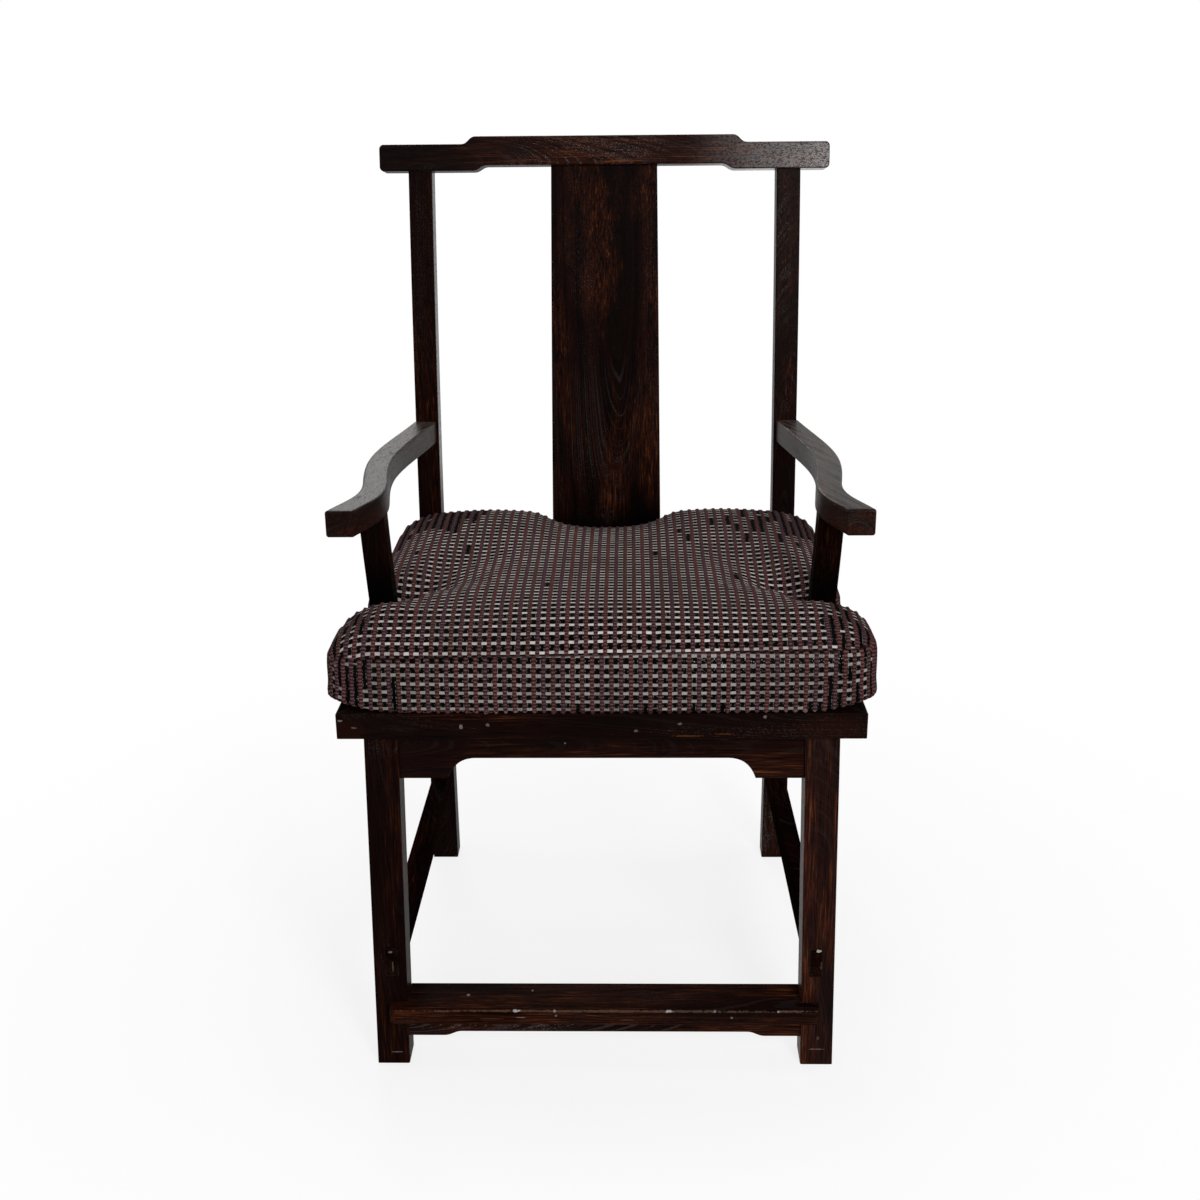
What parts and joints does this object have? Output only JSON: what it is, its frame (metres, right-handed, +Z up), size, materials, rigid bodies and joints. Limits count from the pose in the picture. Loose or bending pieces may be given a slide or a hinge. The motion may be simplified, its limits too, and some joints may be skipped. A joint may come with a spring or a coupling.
{
  "type": "official hat chair",
  "caption": "Square-backed armchair of joined dark elm with a curved splat, goose-neck arm posts, apron and footrest, and a loose woven seat cushion.",
  "frame": {"origin": "on the floor, under the middle of the chair's bounding box", "axes": "+Z up, the chair's front faces -Y, +X towards the sitter's left"},
  "size_m": [0.6176, 0.5994, 1.0867],
  "materials": {
    "elm": "satin",
    "pegs": "satin",
    "woven_fabric": "matte",
    "filling": "matte",
    "zip": "matte"
  },
  "bodies": {
    "chair_frame": {"crest_rail": "elm", "back_splat": "elm", "left_rear_post": "elm", "right_rear_post": "elm", "left_front_leg": "elm", "right_front_leg": "elm", "left_arm": "elm", "right_arm": "elm", "left_arm_post": "elm", "right_arm_post": "elm", "seat_front_rail": "elm", "seat_rear_rail": "elm", "seat_left_rail": "elm", "seat_right_rail": "elm", "seat_board_left": "elm", "seat_board_middle": "elm", "seat_board_right": "elm", "seat_batten_front": "elm", "seat_batten_rear": "elm", "front_apron": "elm", "rear_apron": "elm", "left_apron": "elm", "right_apron": "elm", "left_stretcher": "elm", "right_stretcher": "elm", "rear_stretcher": "elm", "footrest": "elm", "footrest_apron": "elm", "crest_pegs": "pegs", "arm_pegs": "pegs", "seat_frame_pegs": "pegs"},
    "cushion": {"cushion_cover": "woven_fabric", "cushion_foam": "filling", "cushion_zip": "zip"}
  },
  "joints": [
    {"name": "cushion_lift", "type": "slide", "parent": "chair_frame", "child": "cushion", "axis": [0, 0, 1], "range_m": [0, 0.06]}
  ]
}
